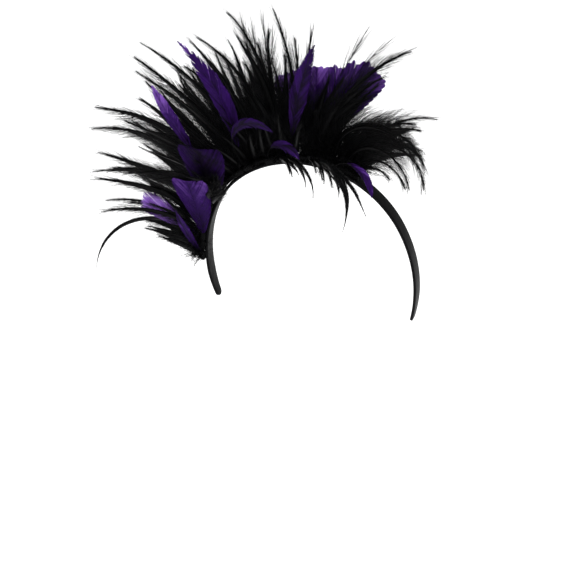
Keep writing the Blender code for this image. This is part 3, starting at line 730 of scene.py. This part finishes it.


# Each cut says how far up the quill the painted shade at its root reaches, as a share of it
plainCut = {"from": 0.10, "lockSize": 12.0, "slit": 0.16, "ragged": 0.0009, "wave": 0.0012,
            "paintedShadeReach": 0.50, "streak": 0.09, "barbAngle": 30.0}
roundCut = dict(plainCut, outline="petal", slit=0.03, scallop=0.005, scallopDepth=0.0003,
                ragged=0.0003, streak=0.06)
longCut = dict(plainCut, outline="long vane", barbAngle=20.0, **{"from": 0.22})
bareCut = dict(plainCut, outline="bare quill", barbAngle=20.0, **{"from": 0.38})
tuftHalf = 1.6   # degrees that a feather's down spreads to each side of its seat
# Each feather's shade sets its place on the ramp: partly its own dye, partly painted light and
# shade for how the light falls on it among the black plumes
purpleTable = (
    {"name": "purpleSideFeather", "node": "purple_side_feather", "rank": 1,
     "down": 90, "downLength": 0.7,
     # side feather: partly its own lavender, partly a painted highlight on its open patches
     "look": dict(plainCut, outline="blunt", shade=0.95, fray=0.003, slit=0.10),
     "quills": ((-83, -35, -40, 2, 0, 0.76, 0.76, 0),)},
    {"name": "purpleCheekFeather", "node": "purple_cheek_feather", "rank": 1,
     "down": 220, "downLength": 0.9,
     "look": dict(plainCut, outline="pointed", shade=0.22),
     "quills": ((-88, -16, 20, 27, 0, 0.77, 0.34, 10),)},
    {"name": "purpleRoundLow", "node": "purple_round_low", "rank": 1,
     "look": dict(roundCut, shade=0.36),
     "quills": ((-79, 9, -10, 24, 0, 0.86, 1.05, 0),)},
    {"name": "purpleRoundHigh", "node": "purple_round_high", "rank": 1,
     # round high feather: below the ramp's dark end, painted shade where it lies under the black
     # plumes
     "look": dict(roundCut, shade=-0.08),
     "quills": ((-65, 12, -10, 24, 0, 0.90, 1.30, 0),)},
    {"name": "purpleUpperFeather", "node": "purple_upper_feather", "rank": 1,
     "look": dict(bareCut, shade=0.68),
     "quills": ((-50, -25, 15, 20, 0, 1.39, 0.40, 0),)},
    {"name": "purpleSplitFeather", "node": "purple_split_feather", "rank": 1,
     "look": dict(longCut, shade=0.50, fray=0.009, lockSize=9.0, slit=0.12, paintedShadeReach=1.10,
                  streak=0.10),
     "quills": ((-36, 12, -51, 14, -4, 1.60, 0.60, 0),)},
    {"name": "purplePointedFeather", "node": "purple_pointed_feather", "rank": 1,
     # pointed feather: very dark, painted shade where it lies deep among the black plumes
     "look": dict(longCut, shade=0.08, fray=0.005, slit=0.10),
     "quills": ((-5, 11, 17, 16, 0, 1.53, 0.50, 0),)},
    {"name": "purpleArchedHigh", "node": "purple_arched_high", "rank": 1,
     # arched high feather: darkened, painted shade where it lies among the black plumes
     "look": dict(bareCut, shade=0.00),
     "quills": ((-30, -30, 135, 28, 0, 1.30, 0.30, 0),)},
    {"name": "purpleArchedLow", "node": "purple_arched_low", "rank": 1,
     "look": dict(bareCut, shade=0.26),
     "quills": ((-17, -3, 135, 26, 0, 0.68, 0.34, 0),)},
    {"name": "purpleBandFeather", "node": "purple_band_feather", "rank": 1,
     "look": dict(bareCut, shade=0.36, slit=0.04),
     "quills": ((18, 30, 140, 28, 0, 0.72, 0.26, 0),)},
    {"name": "purpleFan", "node": "purple_fan", "rank": -1, "start": 0, "end": 8,
     "look": dict(plainCut, outline="blunt", shade=0.50, paintedShadeReach=0.80, slit=0.02, ragged=0.0002,
                  scallop=0.0045, scallopDepth=0.0016), "lighter": (0.5, 0.0, 0.0, 0.0, 0.0),
     "quills": ((1, -24, 0, -24, 0, 0.80, 1.00, 0), (3, -2, 0, -28, 0, 0.83, 1.00, 0),
                (5, 12, 12, -24, 0, 0.85, 1.00, 0), (7, 17, 34, -20, 0, 0.99, 1.00, 0),
                (6, 15, 24, -22, 0, 0.94, 0.90, 0))},
)
for feather in purpleTable:
    parts = []
    seat = feather["quills"][0][0]
    for place, row in enumerate(feather["quills"]):
        shade = feather["look"]["shade"] + feather.get("lighter", (0.0,))[place]
        parts += growVane(row, feather["rank"], dict(feather["look"], shade=shade))
    if feather.get("down"):
        tuft = growDown(dict(feather, start=seat - tuftHalf, end=seat + tuftHalf), feather["down"])
        parts.append(dict(tuft, material=stemSlot))
    radius = arch["crownRadius"] if abs(seat) <= arch["crownArc"] else arch["sideRadius"]
    half = math.degrees(pads["footHalf"] / radius)
    start, end = feather.get("start", seat - half), feather.get("end", seat + half)
    parts.append(makePad(start, end, feather["rank"]))
    piece = putMesh(feather["name"], parts, (purpleGoose, blackHackle, blackFelt))
    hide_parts(feather["node"])
print("purple feathers grown")

# The band: a strip with rounded edges that follows the arch and narrows to rounded ends.
# tipRings are angles round the end, in degrees.
band = {"width": 0.010, "thickness": 0.002, "tipWidth": 0.007, "taper": 0.020, "edge": 0.0007,
        "rings": 150, "tipRings": (20, 38, 52, 64, 74, 81, 86), "tipThinning": 0.25}
tipTurn = math.degrees(band["tipWidth"] / 2 / arch["sideRadius"])
taperTurn = math.degrees(band["taper"] / arch["sideRadius"])
ends = arch["sideArc"] - tipTurn * (1 - np.sin(np.radians(band["tipRings"])))
sideways = np.concatenate((np.linspace(0, arch["sideArc"] - tipTurn, band["rings"]), ends))
heading = np.concatenate((-sideways[::-1], sideways[1:]))
turn = np.abs(heading)
width = np.interp(turn, (arch["sideArc"] - taperTurn, arch["sideArc"] - tipTurn),
                  (band["width"], band["tipWidth"]))
beyond = np.clip((turn - arch["sideArc"] + tipTurn) / tipTurn, 0, 1)   # 0 to 1 round the tip
width = width * np.sqrt(np.maximum(1 - beyond ** 2, 0.01))
depth = band["thickness"] * (1 - band["tipThinning"] * beyond ** 4)
centres = archPoint(heading, band["thickness"] / 2, 0.0)[None]
strip = sweepStrip(centres, width[None], depth[None],
                   stripProfile(band["width"], band["thickness"], band["edge"], 6))
bandPiece = putMesh("bandSatin", [strip], (blackSatin,))
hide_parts("band")

# Pale floor, far enough below to take no hard shadow
floorHalf, floorHeight = 6, -0.45
floorMesh = bpy.data.meshes.new("floor")
corners = [(x * floorHalf, y * floorHalf, floorHeight)
           for x, y in ((-1, -1), (1, -1), (1, 1), (-1, 1))]
floorMesh.from_pydata(corners, [], [(0, 1, 2, 3)])
floor = bpy.data.objects.new("floor", floorMesh)
bpy.context.scene.collection.objects.link(floor)
floorPaint, tree, shader = newMaterial("pale matt floor", "#f4f4f4")
shader.inputs["Base Color"].default_value = tint("#f4f4f4")
shader.inputs["Roughness"].default_value = 0.9
shader.inputs["Emission Color"].default_value = (1, 1, 1, 1)
shader.inputs["Emission Strength"].default_value = 0.45   # lit on its own, as a white sweep is
floorMesh.materials.append(floorPaint)

# Camera: turned to the wearer's left and above, upright but for a small roll
lens = {"turn": 23.3, "above": 29.7, "roll": -4.7, "distance": 1.3,
        "right": -0.0110, "up": -0.0824, "focal": 123.75}
turnAngle, above, rollAngle = (math.radians(lens[key]) for key in ("turn", "above", "roll"))
sinTurn, cosTurn = math.sin(turnAngle), math.cos(turnAngle)
sinAbove, cosAbove = math.sin(above), math.cos(above)
right = Vector((cosTurn, sinTurn, 0))
upward = Vector((-sinTurn * sinAbove, cosTurn * sinAbove, cosAbove))
towards = Vector((sinTurn * cosAbove, -cosTurn * cosAbove, sinAbove))
cameraX = right * math.cos(rollAngle) + upward * math.sin(rollAngle)
cameraY = upward * math.cos(rollAngle) - right * math.sin(rollAngle)
spot = towards * lens["distance"] + cameraX * lens["right"] + cameraY * lens["up"]
cameraData = bpy.data.cameras.new("camera")
cameraData.lens = lens["focal"]
cameraData.sensor_width = 36
camera = bpy.data.objects.new("camera", cameraData)
turned = Matrix((cameraX, cameraY, towards)).transposed().to_4x4()
camera.matrix_world = Matrix.Translation(spot) @ turned
bpy.context.scene.collection.objects.link(camera)
bpy.context.scene.camera = camera

# Soft studio light: white surroundings, a broad key above the camera and a weaker fill
world = bpy.data.worlds.new("studio")
world.use_nodes = True
world.node_tree.nodes["Background"].inputs["Color"].default_value = (1, 1, 1, 1)
world.node_tree.nodes["Background"].inputs["Strength"].default_value = 0.55
bpy.context.scene.world = world
lamps = (("key", (0.7, -1.2, 1.6), 1.2, 42.0), ("fill", (-1.4, -0.7, 0.8), 1.2, 16.0))
for name, place, size, power in lamps:   # place and size in metres, power in watts
    lamp = bpy.data.lights.new(name, "AREA")
    lamp.size, lamp.energy = size, power
    light = bpy.data.objects.new(name, lamp)
    light.location = place
    light.rotation_euler = Vector(place).to_track_quat("Z", "Y").to_euler()
    bpy.context.scene.collection.objects.link(light)
bpy.context.scene.view_settings.view_transform = "Standard"
bpy.context.scene.view_settings.look = "None"
print("floor, camera and light placed")
